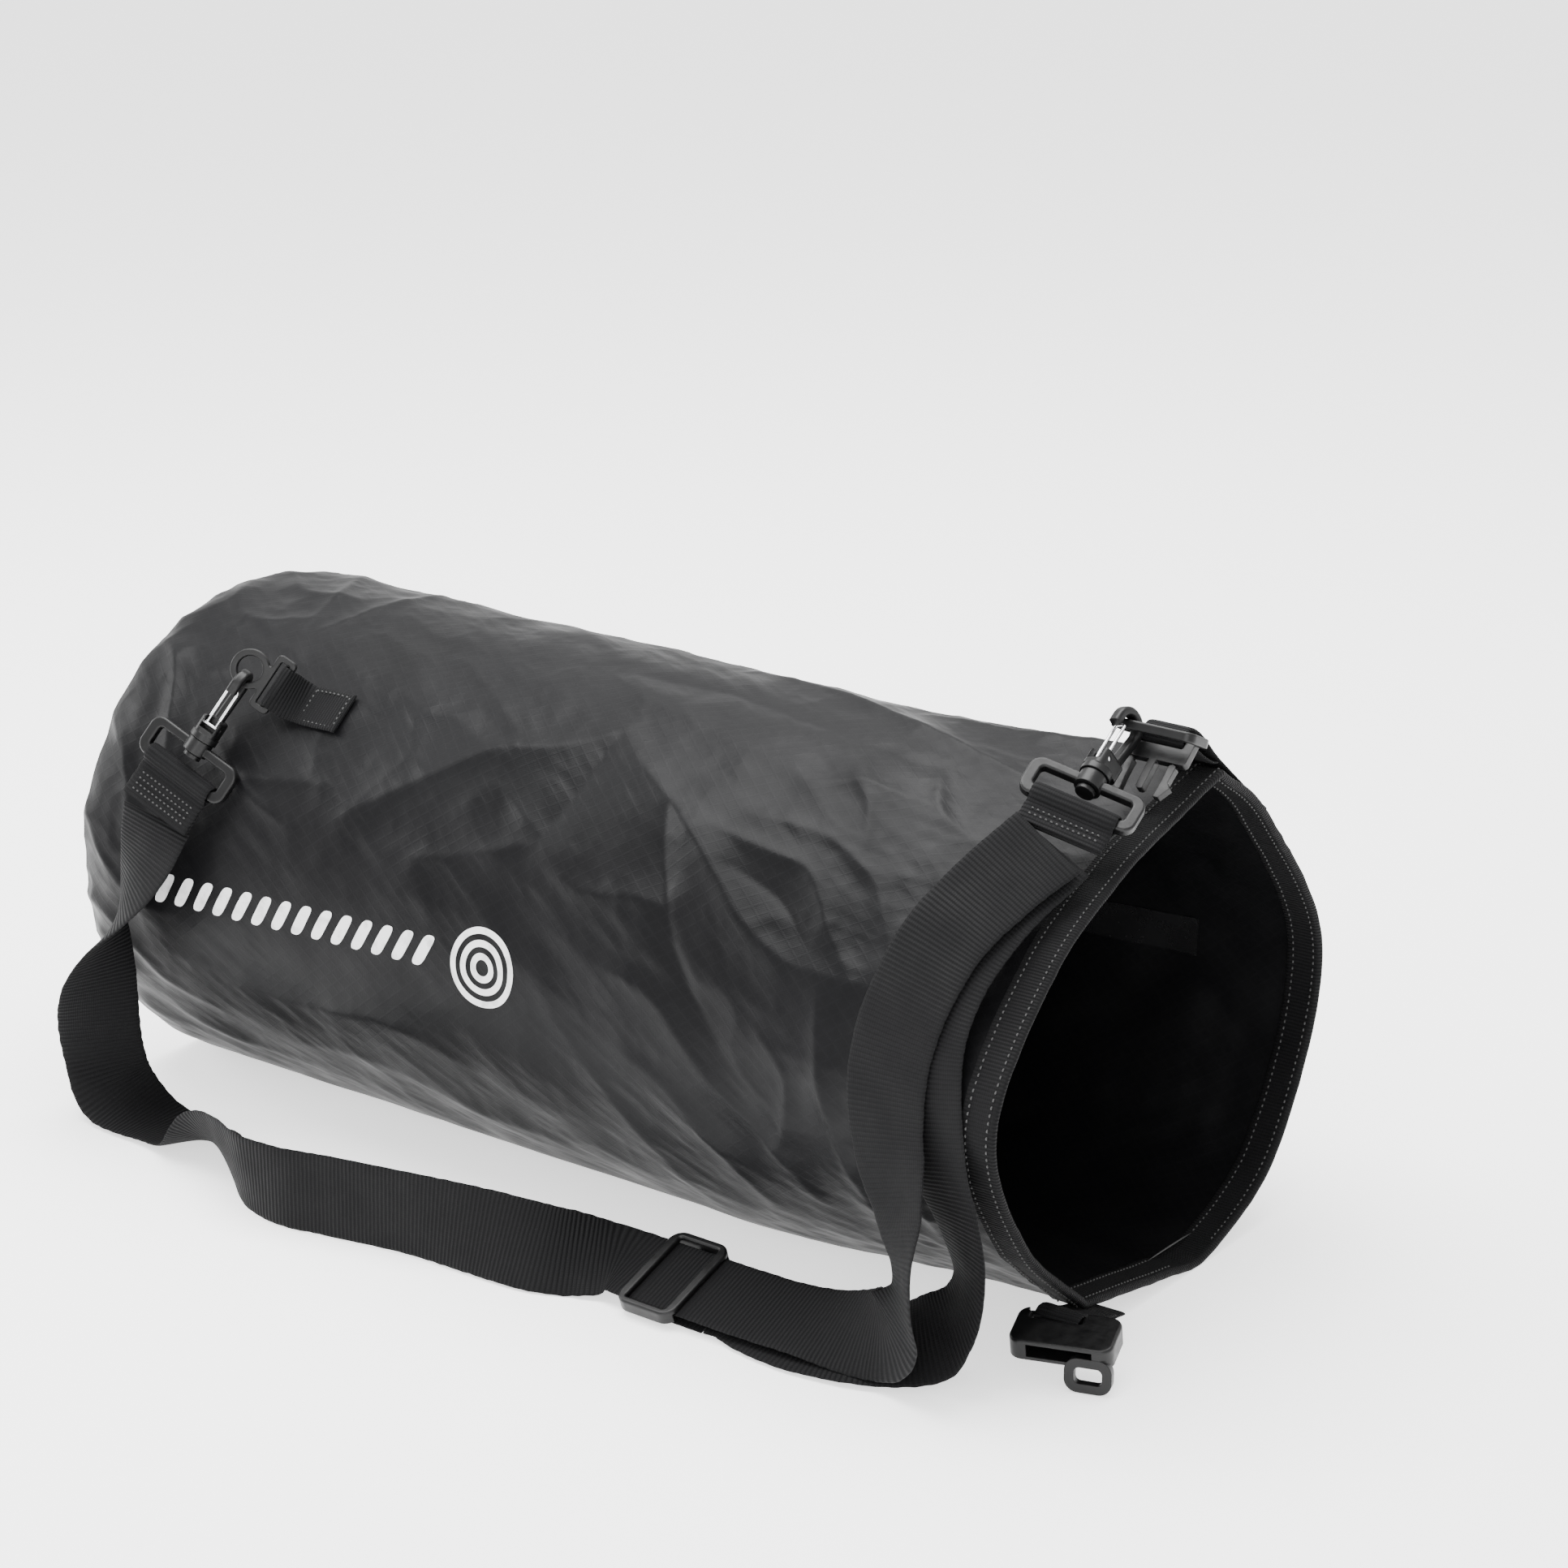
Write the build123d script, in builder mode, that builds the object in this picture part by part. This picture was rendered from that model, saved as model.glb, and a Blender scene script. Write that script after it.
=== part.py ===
"""Roll-top tube bag with a clip-on webbing shoulder strap, lying on its side with the mouth open.

Frame: origin on the floor under the middle of the bag, +X along the bag towards the mouth,
-Y towards the side that the strap lies on, +Z up.  Millimetres.
"""
import os
from math import sqrt

from build123d import *

# ---- driving dimensions --------------------------------------------------------------------
BODY_R = 126.0            # radius of the filled tube
AXIS_Z = 115.0            # height of its axis: the bottom sags flat on the floor
END_R = BODY_R - 4.0      # radius at the base seam
BASE_X = -277.0           # outer face of the base panel
BASE_T = 2.0              # base panel, two layers of coated fabric
HEM_X = 256.0             # where the shell ends and the mouth hem starts
MOUTH_X = 278.0           # rim of the mouth
WALL = 1.5                # coated fabric, as a solid wall
HEM_WALL = 2.6            # webbing folded over the fabric edge
SEAM_W = 18.0             # lap seam along the bag
WEB = 40.0                # shoulder strap webbing width
WEB_T = 1.6               # and thickness
TAB_W = 22.0              # hem and buckle webbing width
TAB_T = 1.5
GAP = 0.4                 # clearance between pieces that move apart
BINDING_T = 2.5           # binding welded round the base panel
BINDING_IN = 10.0         # from the seam to its outer edge
BINDING_W = 4.0
TAPE_T = 0.6              # sealing tape inside the lap seam
TAPE_LENGTH = 460.0
PIN_GAP = 0.3             # radial clearance of a pin in its hole

# snap hook, measured along its own axis from the webbing bar
BAR_R = 2.5               # webbing bar
FOLD_R = 3.5              # inside of the webbing wrapped round it
WINDOW_H = 13.0           # frame window, bar centre to the top bar
FRAME_W = 54.0
BOSS_TOP = 19.0
POST_R = 2.5
HUMP_V = 22.5             # foot of the hook body
PIVOT_V = 27.5            # gate pivot
GATE_U = -2.3             # gate plane
BOWL_V = 52.4             # where the clipped ring sits in the hook
BOWL_U = 1.3
WIRE_R = 0.8
RING_R = 8.0              # base ring, to the middle of its section
RING_SECTION = 1.7        # and half that section
SLOT_U = 13.5             # its webbing slot
LOOP_W = 42.0             # buckle D-loop
LOOP_H = 14.0
LOOP_BAR_R = 2.3
PLATE_W = 32.0
PLATE_L = 16.0
PRONG_FOOT_R = 1.9        # rounded foot that each prong flexes about
SLOT_BAR_U = 3.8          # base ring slot to its outer bar
SLOT_BAR_R = 2.1
RING_NECK = 7.0           # the webbing comes down to the bag this far along
RING_TAIL = 30.0          # and is sewn down over this length
FEMALE_W = 46.0
FEMALE_L = 25.0
FEMALE_T = 9.6
FEMALE_BAR = 3.2          # its slot bar
FEMALE_BAR_T = 4.2
FEMALE_SLOT = 4.4
SOCKET_T = 6.4            # height of the opening for the prongs
SLIDER_W = 32.0
SLIDER_H = 49.0
SLIDER_T = 7.0
SLIDER_BACK = 2.7         # strap middle to the front of the middle bar
SLOT_DEPTH = 1.8          # gate slot in the hump, past the hook axis
SPINE_W = 5.4             # hook spine section
SPINE_T = 4.4
GATE_L = 20.5             # gate pivot to its closed end

# ---- where the hardware hangs --------------------------------------------------------------
LOWER_BAR = Vector(-202, -123, 180.5)
LOWER_BOWL = Vector(-184.5, -96, 224)
LOWER_ROLL = 18.0         # frame rolled about the hook's axis
LOWER_SPIN = 120.0        # hook body turned about it, gate outwards
UPPER_BAR = Vector(253.5, -41, 236.5)
UPPER_BOWL = Vector(250.5, 3.5, 262.5)
UPPER_ROLL = 20.0
UPPER_SPIN = 75.0
MALE_BAR = Vector(263, 4, 262)
FEMALE_MID = Vector(289, -92, 19)
FEMALE_X = (0.95, 0.31, 0.0)
SLIDER_MID = Vector(112, -139, 13.0)
SLIDER_FACE = (0.0, -0.326, 0.945)
# buckle webbing runs, as (y, z)
MALE_TAB = (38.0, 241.5)
MALE_TAB_END = (62.0, 233.5)
MALE_LOOP_R = 3.3         # inside of the webbing round the buckle's root bar
FEMALE_TAB = (20.0, -11.5)  # measured from the buckle's slot bar
FEMALE_TAB_END = (42.0, -21.0)
FEMALE_LOOP_R = 3.0

# ---- shoulder strap route, laid by hand ----------------------------------------------------
# Each station is (middle of the webbing, way across its width).
STRAP = (
    ((-210.1, -132.3, 158.8), (0.89, 0.09, -0.44)),
    ((-216.0, -138.0, 136.0), (0.90, -0.25, -0.35)),
    ((-225.0, -143.5, 114.0), (0.68, -0.68, -0.25)),
    ((-234.0, -147.5, 92.0), (0.15, -0.98, -0.10)),
    ((-241.0, -147.5, 70.0), (-0.35, -0.93, -0.05)),
    ((-246.0, -144.5, 48.0), (-0.66, -0.74, -0.10)),
    ((-246.0, -142.0, 29.0), (-0.74, -0.64, -0.20)),
    ((-238.0, -143.5, 14.5), (-0.55, -0.78, -0.26)),
    ((-222.0, -143.0, 5.5), (-0.25, -0.96, -0.10)),
    ((-202.0, -143.0, 2.4), (0.0, -1.0, 0.02)),
    ((-184.0, -146.0, 3.6), (0.1, -0.99, 0.12)),
    ((-167.0, -153.0, 9.6), (0.2, -0.90, 0.38)),
    ((-149.0, -164.0, 17.2), (0.15, -0.62, 0.77)),
    ((-129.0, -176.0, 20.6), (0.05, -0.30, 0.95)),
    ((-108.0, -186.0, 20.8), (0.0, -0.12, 0.99)),
    ((-84.0, -187.0, 20.3), (0.0, 0.0, 1.0)),
    ((-60.0, -181.5, 20.3), (0.0, 0.05, 1.0)),
    ((-17.0, -173.0, 20.6), (0.0, 0.08, 1.0)),
    ((20.0, -167.0, 20.0), (0.0, 0.30, 0.95)),
    ((50.0, -159.0, 17.4), (0.0, 0.60, 0.80)),
    ((68.0, -147.0, 14.2), (0.0, 0.85, 0.53)),
    ((82.0, -139.0, 13.0), (0.0, 0.945, 0.326)),
    ((100.0, -139.0, 13.0), (0.0, 0.945, 0.326)),
    ((120.0, -139.0, 13.0), (0.0, 0.945, 0.326)),
    ((146.0, -139.0, 13.0), (0.0, 0.945, 0.326)),
    ((170.0, -138.5, 13.2), (0.0, 0.94, 0.34)),
    ((192.0, -138.5, 15.0), (0.0, 0.90, 0.43)),
    ((210.0, -140.0, 18.0), (-0.02, 0.75, 0.66)),
    ((225.0, -144.0, 22.5), (-0.10, 0.45, 0.88)),
    ((236.0, -149.5, 27.0), (-0.35, 0.20, 0.90)),
    ((242.0, -152.5, 35.0), (-0.65, 0.30, 0.60)),
    ((244.5, -152.0, 47.0), (-0.70, 0.68, 0.10)),
    ((242.0, -148.5, 62.0), (-0.72, 0.66, 0.10)),
    ((236.5, -143.0, 80.0), (-0.88, 0.42, 0.15)),
    ((229.5, -139.5, 101.0), (-0.95, 0.15, 0.20)),
    ((225.0, -137.0, 124.0), (-0.97, 0.05, 0.20)),
    ((224.0, -132.0, 147.0), (-0.98, 0.0, 0.10)),
    ((227.0, -123.0, 170.0), (-0.98, -0.05, 0.05)),
    ((233.0, -106.0, 194.0), (-0.97, -0.10, 0.10)),
    ((243.0, -82.0, 213.0), (-0.95, -0.20, 0.15)),
    ((252.8, -59.8, 226.7), (-0.93, -0.28, 0.22)),
)
RETURN = (
    ((141.5, -137.4, 8.3), (0.0, 0.945, 0.326)),
    ((151.0, -137.4, 8.3), (0.0, 0.945, 0.326)),
    ((166.0, -141.0, 7.0), (0.0, 0.96, 0.28)),
    ((188.0, -142.5, 6.4), (0.0, 0.97, 0.25)),
    ((212.0, -139.5, 9.0), (-0.02, 0.93, 0.37)),
    ((232.0, -134.0, 14.6), (-0.10, 0.75, 0.65)),
    ((248.0, -128.0, 22.0), (-0.30, 0.50, 0.80)),
    ((257.0, -126.0, 33.0), (-0.60, 0.58, 0.45)),
    ((261.0, -126.0, 47.0), (-0.75, 0.58, 0.22)),
    ((259.5, -127.5, 65.0), (-0.86, 0.42, 0.18)),
    ((254.5, -131.0, 86.0), (-0.93, 0.25, 0.22)),
    ((247.0, -134.0, 108.0), (-0.95, 0.10, 0.25)),
    ((241.0, -133.0, 132.0), (-0.97, 0.03, 0.20)),
    ((237.0, -126.0, 156.0), (-0.98, 0.0, 0.10)),
    ((238.5, -112.5, 179.0), (-0.98, -0.05, 0.05)),
    ((243.0, -92.0, 198.5), (-0.97, -0.10, 0.10)),
    ((249.0, -70.5, 213.8), (-0.95, -0.20, 0.15)),
    ((254.4, -57.2, 224.4), (-0.93, -0.28, 0.22)),
)


def write(part, name):
    """Label a finished piece and write it as one STEP file."""
    part.label = name
    export_step(part, f"parts/{name}.step")
    print(f"{name:24s} {part.volume / 1000:8.2f} cm3  {len(part.solids())} solid")


# ---- bag -----------------------------------------------------------------------------------
# Each cross-section runs from the bottom corner over the near side to the top corner, and down
# the far side to the floor: two arcs, one arc, and the flat that lies on the floor.
def round_section(radius):
    """Section of the filled tube: one circle cut by the floor."""
    edge = sqrt(radius**2 - AXIS_Z**2)
    near_low, near_high = (Vector(0, radius).rotate(Axis.Z, angle) for angle in (123.0, 36.0))
    top = (39.0, AXIS_Z + sqrt(radius**2 - 39.0**2))
    rise = Vector(0, AXIS_Z)
    return (
        (-edge, 0.0),
        near_low + rise,
        (-radius, AXIS_Z),
        near_high + rise,
        top,
        (radius, AXIS_Z),
        (edge, 0.0),
    )


BODY_SECTION = round_section(BODY_R)
END_SECTION = round_section(END_R)
NECK_SECTION = (
    (-54.0, 4.0), (-107.0, 48.0), (-128.0, 117.0), (-66.0, 212.0), (40.0, 231.0), (130.0, 118.0), (48.0, 0.0),
)
HEM_SECTION = (
    (-58.0, 13.0), (-110.0, 56.0), (-131.0, 123.0), (-55.0, 208.5), (41.0, 235.0), (133.0, 121.0), (45.0, 0.0),
)
RIM_SECTION = (
    (-60.0, 17.0), (-111.0, 60.0), (-133.0, 125.0), (-52.0, 207.0), (41.0, 237.0), (135.0, 123.0), (44.0, 0.0),
)
SHELL = (
    (BASE_X + BASE_T, END_SECTION),
    (BASE_X + 22.0, BODY_SECTION),
    (110.0, BODY_SECTION),
    (205.0, NECK_SECTION),
    (HEM_X, HEM_SECTION),
)
HEM = ((HEM_X, HEM_SECTION), (MOUTH_X, RIM_SECTION))


def toward_axis(point, distance):
    """A section point moved towards the tube's axis."""
    spot = Vector(*point)
    return spot + (Vector(0, AXIS_Z) - spot).normalized() * distance


def section_at(x, points, inset):
    """One closed cross-section of the tube, inset by a wall thickness."""
    corner, edge = Vector(*points[0]), Vector(*points[-1])
    corner_in = corner + Vector(0.2, 1.0) * inset
    edge_in = edge + Vector(-0.2, 1.0) * inset
    near_low, near, near_high, top, far = (toward_axis(point, inset) for point in points[1:-1])
    with BuildSketch(Plane(origin=(x, 0, 0), x_dir=(0, 1, 0), z_dir=(1, 0, 0))) as section:
        with BuildLine():
            ThreePointArc(corner_in, near_low, near)
            ThreePointArc(near, near_high, top)
            ThreePointArc(top, far, edge_in)
            Line(edge_in, corner_in)
        make_face()
    return section.sketch


def tube(sections, wall):
    """A tube wall lofted through sections, open at both ends."""
    with BuildPart() as body:
        loft([section_at(x, points, 0.0) for x, points in sections], ruled=True)
        inner = [section_at(x, points, wall) for x, points in sections]
        loft(inner, ruled=True, mode=Mode.SUBTRACT)
    return body.part


def make_bag():
    """Shell, base panel, base binding, hem halves and the taped lap seam."""
    write(tube(SHELL, WALL), "bag_shell")

    with BuildPart() as base_panel:
        extrude(section_at(BASE_X, END_SECTION, 0.0), amount=BASE_T)
    write(base_panel.part, "base_panel")

    with BuildPart() as base_binding:
        ring = Plane(origin=(BASE_X + BASE_T, 0, AXIS_Z), z_dir=(-1, 0, 0))
        with BuildSketch(ring):
            Circle(END_R - BINDING_IN)
            Circle(END_R - BINDING_IN - BINDING_W, mode=Mode.SUBTRACT)
        extrude(amount=-BINDING_T)
    write(base_binding.part, "base_binding")

    corner = Vector(HEM_X, *HEM_SECTION[0])
    top = Vector(HEM_X, *HEM_SECTION[4])
    through = (top - corner).cross(Vector(1, 0, 0))
    across = Plane(origin=corner, x_dir=(1, 0, 0), z_dir=through)
    for side, keep in (("front", Keep.BOTTOM), ("back", Keep.TOP)):
        with BuildPart() as hem:
            add(tube(HEM, HEM_WALL))
            split(bisect_by=across, keep=keep)
        write(hem.part, f"mouth_hem_{side}")

    with BuildPart() as seam_tape:
        with BuildSketch(Plane.YZ.offset(BASE_X + 30.0)):
            with Locations((0, AXIS_Z)):
                Circle(BODY_R - WALL - GAP)
                Circle(BODY_R - WALL - GAP - TAPE_T, mode=Mode.SUBTRACT)
            with Locations((BODY_R, AXIS_Z)):
                Rectangle(BODY_R, SEAM_W, mode=Mode.INTERSECT)
        extrude(amount=TAPE_LENGTH)
    write(seam_tape.part, "seam_tape")


# ---- snap hooks ----------------------------------------------------------------------------
def hook_planes(bar, bowl, roll, spin):
    """Frame plane and hook plane of a snap hook: both have Y along it, from bar to bowl."""
    along = (bowl - bar).normalized()
    across = (Vector(1, 0, 0) - along * along.X).normalized()
    turn = Axis((0, 0, 0), along)
    frame_x = across.rotate(turn, roll)
    hook_x = across.rotate(turn, spin)
    frame = Plane(origin=bar, x_dir=frame_x, z_dir=frame_x.cross(along))
    hook = Plane(origin=bar, x_dir=hook_x, z_dir=hook_x.cross(along))
    return frame, hook


def side_plane(plane):
    """The plane across a hook: its X is the hook's thickness, its Y still runs along the hook."""
    return Plane(origin=plane.origin, x_dir=plane.z_dir, z_dir=-plane.x_dir)


def along_plane(plane, v, u=0.0):
    """A plane square to the hook's axis, v along it and u across it."""
    return Plane(origin=plane.from_local_coords((u, v, 0)), x_dir=plane.x_dir, z_dir=plane.y_dir)


def hook_frame(plane):
    """Webbing bar, window and swivel boss in one moulding."""
    top = WINDOW_H + 4.5
    with BuildPart() as frame:
        with BuildSketch(plane):
            with Locations((0, (top - BAR_R) / 2)):
                RectangleRounded(FRAME_W, top + BAR_R, 6.0)
            with Locations((0, (WINDOW_H + BAR_R) / 2)):
                RectangleRounded(WEB + 3.0, WINDOW_H - BAR_R, 2.0, mode=Mode.SUBTRACT)
        extrude(amount=BAR_R, both=True)
        fillet(frame.edges(), 1.1)
        with BuildSketch(along_plane(plane, WINDOW_H - 1.0)):
            Circle(6.2)
        extrude(amount=BOSS_TOP - WINDOW_H + 1.0)
        with BuildSketch(along_plane(plane, BAR_R + 1.0)):
            Circle(POST_R + PIN_GAP)
        extrude(amount=BOSS_TOP, mode=Mode.SUBTRACT)
    return frame.part


def hook_body(plane):
    """Swivel post, collar, hump with the gate slot, and the bowed spine curling to the nose."""
    side = side_plane(plane)
    with BuildPart() as body:
        with BuildSketch(along_plane(plane, HUMP_V)):
            with Locations((1.0, 0)):
                RectangleRounded(15.0, 11.0, 3.0)
        extrude(amount=9.0)
        fillet(body.faces().sort_by(Axis(plane.origin, plane.y_dir))[-1].edges(), 1.5)
        with BuildSketch(side.offset(-SLOT_DEPTH)):
            with Locations((0, HUMP_V + 9.0)):
                Rectangle(7.6, 13.0)
        extrude(amount=10.0, mode=Mode.SUBTRACT)
        with BuildSketch(plane):
            with Locations((GATE_U, PIVOT_V)):
                Circle(WIRE_R + 0.1 + PIN_GAP)
        extrude(amount=10.0, both=True, mode=Mode.SUBTRACT)
        with BuildSketch(along_plane(plane, BOSS_TOP + GAP)):
            Circle(7.0)
        extrude(amount=HUMP_V - BOSS_TOP - GAP + 0.2)
        with BuildSketch(along_plane(plane, WINDOW_H - 3.6)):
            Circle(POST_R)
        extrude(amount=HUMP_V - WINDOW_H + 3.7)
        with BuildSketch(along_plane(plane, WINDOW_H - 3.6)):
            Circle(4.4)
        extrude(amount=2.0)
        with BuildLine(plane) as spine:
            FilletPolyline((5.6, 30.0), (9.2, 57.0), (-6.0, 57.0), (-6.0, 46.5), radius=6.9)
        start = Plane(origin=spine.line @ 0, x_dir=plane.z_dir, z_dir=spine.line % 0)
        with BuildSketch(start):
            RectangleRounded(SPINE_W, SPINE_T, 1.6)
        sweep()
    return body.part


def hook_gate(plane):
    """Spring wire gate: a long U of wire with a cross pin at its foot."""
    foot = Plane(
        origin=plane.from_local_coords((GATE_U, PIVOT_V, 0)),
        x_dir=plane.z_dir,
        z_dir=-plane.x_dir,
    )
    with BuildPart() as gate:
        with BuildLine(foot) as wire:
            FilletPolyline((-2.6, 0), (-2.6, GATE_L), (2.6, GATE_L), (2.6, 0), radius=1.6)
        with BuildSketch(Plane(origin=wire.line @ 0, z_dir=wire.line % 0)):
            Circle(WIRE_R)
        sweep()
        with BuildSketch(Plane(origin=foot.origin, x_dir=plane.x_dir, z_dir=plane.z_dir)):
            Circle(WIRE_R + 0.1)
        extrude(amount=5.0, both=True)
    return gate.part


def strap_fold(plane, tail, end_t):
    """Webbing wrapped round a hook's bar and stitched to itself."""
    across = Plane(origin=plane.origin, x_dir=plane.z_dir, z_dir=-plane.x_dir)
    with BuildPart() as fold:
        with BuildSketch(across) as outline:
            Circle(FOLD_R + WEB_T)
            with Locations((0, -tail + 1.0)):
                Rectangle(end_t, 2.0)
            make_hull(outline.edges())
            Circle(FOLD_R, mode=Mode.SUBTRACT)
        extrude(amount=WEB / 2, both=True)
    return fold.part


def make_hook(prefix, bar, bowl, roll, spin, tail, end_t):
    frame_plane, hook_plane = hook_planes(bar, bowl, roll, spin)
    write(hook_frame(frame_plane), f"{prefix}_hook_frame")
    write(hook_body(hook_plane), f"{prefix}_hook_body")
    write(hook_gate(hook_plane), f"{prefix}_hook_gate")
    write(strap_fold(frame_plane, tail, end_t), f"{prefix}_strap_fold")
    return frame_plane, hook_plane


# ---- ring sewn near the base ---------------------------------------------------------------
def make_base_ring(hook_plane):
    """Moulding with a round ring and a webbing slot, and the webbing that holds it."""
    centre = hook_plane.from_local_coords((BOWL_U, BOWL_V + RING_R, 0))
    plane = Plane(origin=centre, x_dir=hook_plane.z_dir, z_dir=-hook_plane.x_dir)
    with BuildPart() as base_ring:
        with BuildSketch(plane):
            Circle(RING_R + RING_SECTION)
            with Locations((SLOT_U, 0)):
                RectangleRounded(10.5, 29.0, 2.5)
            Circle(RING_R - RING_SECTION, mode=Mode.SUBTRACT)
            with Locations((SLOT_U, 0)):
                RectangleRounded(4.6, TAB_W + 1.0, 1.0, mode=Mode.SUBTRACT)
        extrude(amount=RING_SECTION, both=True)
        fillet(base_ring.edges(), 0.8)
    write(base_ring.part, "base_ring")

    slot_bar = plane.from_local_coords((SLOT_U + SLOT_BAR_U, 0, 0))
    across = (Vector(1, 0, 0) - plane.y_dir * plane.y_dir.X).normalized()
    from_axis = Vector(0, slot_bar.Y, slot_bar.Z - AXIS_Z)
    outward = from_axis.normalized()
    height = from_axis.length - BODY_R
    foot = slot_bar - outward * height
    with BuildPart() as ring_tab:
        with BuildSketch(Plane(origin=slot_bar, x_dir=across, z_dir=-plane.y_dir)) as loop:
            Circle(SLOT_BAR_R + GAP + TAB_T)
            with Locations((RING_NECK, -height)):
                Circle(TAB_T)
            make_hull(loop.edges())
            Circle(SLOT_BAR_R + GAP, mode=Mode.SUBTRACT)
        extrude(amount=TAB_W / 2, both=True)
        with BuildSketch(Plane(origin=foot, x_dir=(1, 0, 0), z_dir=outward)):
            with Locations((RING_NECK + RING_TAIL / 2, 0)):
                Rectangle(RING_TAIL, TAB_W)
        extrude(amount=TAB_T, both=True)
        with BuildSketch(Plane.YZ.offset(foot.X - RING_TAIL)):
            with Locations((0, AXIS_Z)):
                Circle(BODY_R)
        extrude(amount=3 * RING_TAIL, mode=Mode.SUBTRACT)
    write(ring_tab.part, "base_ring_tab")


# ---- side-release buckle halves ------------------------------------------------------------
def make_male_buckle():
    """Upper half: the loop that the hook is clipped to, the plate, and two springy prongs."""
    loop = Plane(origin=MALE_BAR, x_dir=(1, 0, 0), z_dir=(0, -0.43, -0.9))
    root = loop.from_local_coords((0, -LOOP_H, 0))
    plate = Plane(origin=root, x_dir=(1, 0, 0), z_dir=(0, -0.66, 0.75))
    with BuildPart() as male_buckle:
        with BuildSketch(loop):
            with Locations((0, -LOOP_H / 2)):
                RectangleRounded(LOOP_W, LOOP_H + 2 * LOOP_BAR_R, 4.5)
                RectangleRounded(LOOP_W - 7.6, LOOP_H - 2 * LOOP_BAR_R, 1.8, mode=Mode.SUBTRACT)
        extrude(amount=LOOP_BAR_R - 0.1, both=True)
        fillet(male_buckle.edges(), 0.9)
        with BuildSketch(plate):
            with Locations((0, 2.4 - PLATE_L / 2)):
                RectangleRounded(PLATE_W, PLATE_L, 2.0)
            with Locations((0, -4.2)):
                RectangleRounded(TAB_W + 1.0, 3.6, 1.0, mode=Mode.SUBTRACT)
            with Locations((0, -PLATE_L - 4.0)):
                RectangleRounded(3.6, 17.0, 1.2)
        extrude(amount=2.0, both=True)
    write(male_buckle.part, "male_buckle")

    for side, sign in (("left", -1), ("right", 1)):
        foot = 2.4 - PLATE_L - GAP - PRONG_FOOT_R
        with BuildPart() as prong:
            with BuildSketch(plate):
                with BuildLine():
                    Polyline(
                        (sign * 8.7, foot),
                        (sign * 12.3, foot),
                        (sign * 12.0, foot - 7.0),
                        (sign * 14.2, foot - 9.6),
                        (sign * 11.0, foot - 15.0),
                        (sign * 8.4, foot - 15.0),
                        (sign * 8.8, foot - 7.0),
                        close=True,
                    )
                make_face()
                with Locations((sign * 10.5, foot)):
                    Circle(PRONG_FOOT_R)
            extrude(amount=1.7, both=True)
        write(prong.part, f"male_prong_{side}")

    with BuildPart() as male_tab:
        with BuildSketch(Plane.YZ.offset(MALE_BAR.X - TAB_W / 2)) as run:
            with Locations((root.Y, root.Z)):
                Circle(MALE_LOOP_R + TAB_T)
            with Locations(MALE_TAB):
                Circle(TAB_T)
            make_hull(run.edges())
            with Locations((root.Y, root.Z)):
                Circle(MALE_LOOP_R, mode=Mode.SUBTRACT)
        extrude(amount=TAB_W)
        with BuildSketch(Plane.YZ.offset(MALE_BAR.X - TAB_W / 2)):
            with BuildLine():
                Polyline(MALE_TAB, MALE_TAB_END)
            trace(line_width=TAB_T)
        extrude(amount=TAB_W)
    write(male_tab.part, "male_buckle_tab")
    return plate


def make_female_buckle():
    """Lower, free half: hollow body open at its front edge, a small D-ring, and its webbing."""
    body = Plane(origin=FEMALE_MID, x_dir=FEMALE_X, z_dir=(0.05, -0.2, 0.98))
    ring = Plane(
        origin=body.from_local_coords((13.0, -FEMALE_L / 2 + 1.5, -2.0)),
        x_dir=FEMALE_X,
        z_dir=Vector(*FEMALE_X).cross(Vector(0, 0, 1)),
    )
    bar_at = (-6.0, (FEMALE_L - FEMALE_BAR) / 2)
    slot_at = (-6.0, FEMALE_L / 2 - FEMALE_BAR - FEMALE_SLOT / 2)
    with BuildPart() as female_buckle:
        with BuildSketch(body.offset(-FEMALE_T / 2)):
            RectangleRounded(FEMALE_W, FEMALE_L, 6.0)
            with Locations(slot_at):
                RectangleRounded(TAB_W + 1.0, FEMALE_SLOT, 1.0, mode=Mode.SUBTRACT)
        extrude(amount=FEMALE_T)
        fillet(female_buckle.faces().sort_by(Axis(body.origin, body.z_dir))[-1].edges(), 1.4)
        for level in (FEMALE_BAR_T / 2, -FEMALE_T / 2 - 0.1):
            with BuildSketch(body.offset(level)):
                with Locations(bar_at):
                    Rectangle(TAB_W + 4.0, FEMALE_BAR + 0.4)
            extrude(amount=(FEMALE_T - FEMALE_BAR_T) / 2 + 0.1, mode=Mode.SUBTRACT)
        with BuildSketch(body.offset(-SOCKET_T / 2)):
            with Locations((0, -FEMALE_L / 2 + 5.0)):
                Rectangle(29.0, 14.0)
        extrude(amount=SOCKET_T, mode=Mode.SUBTRACT)
        with BuildSketch(ring):
            with Locations((0, -6.5)):
                RectangleRounded(21.0, 16.0, 6.0)
                RectangleRounded(12.5, 7.8, 2.5, mode=Mode.SUBTRACT)
        extrude(amount=2.0, both=True)
    write(female_buckle.part, "female_buckle")

    bar = body.from_local_coords((*bar_at, 0))
    hang = Plane(origin=bar, x_dir=body.y_dir, z_dir=body.x_dir)
    with BuildPart() as female_tab:
        with BuildSketch(hang) as run:
            Circle(FEMALE_LOOP_R + TAB_T)
            with Locations(FEMALE_TAB):
                Circle(TAB_T)
            make_hull(run.edges())
            Circle(FEMALE_LOOP_R, mode=Mode.SUBTRACT)
        extrude(amount=TAB_W / 2, both=True)
        with BuildSketch(hang):
            with BuildLine():
                Polyline(FEMALE_TAB, FEMALE_TAB_END)
            trace(line_width=TAB_T)
        extrude(amount=TAB_W / 2, both=True)
    write(female_tab.part, "female_buckle_tab")
    return body, bar


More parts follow.
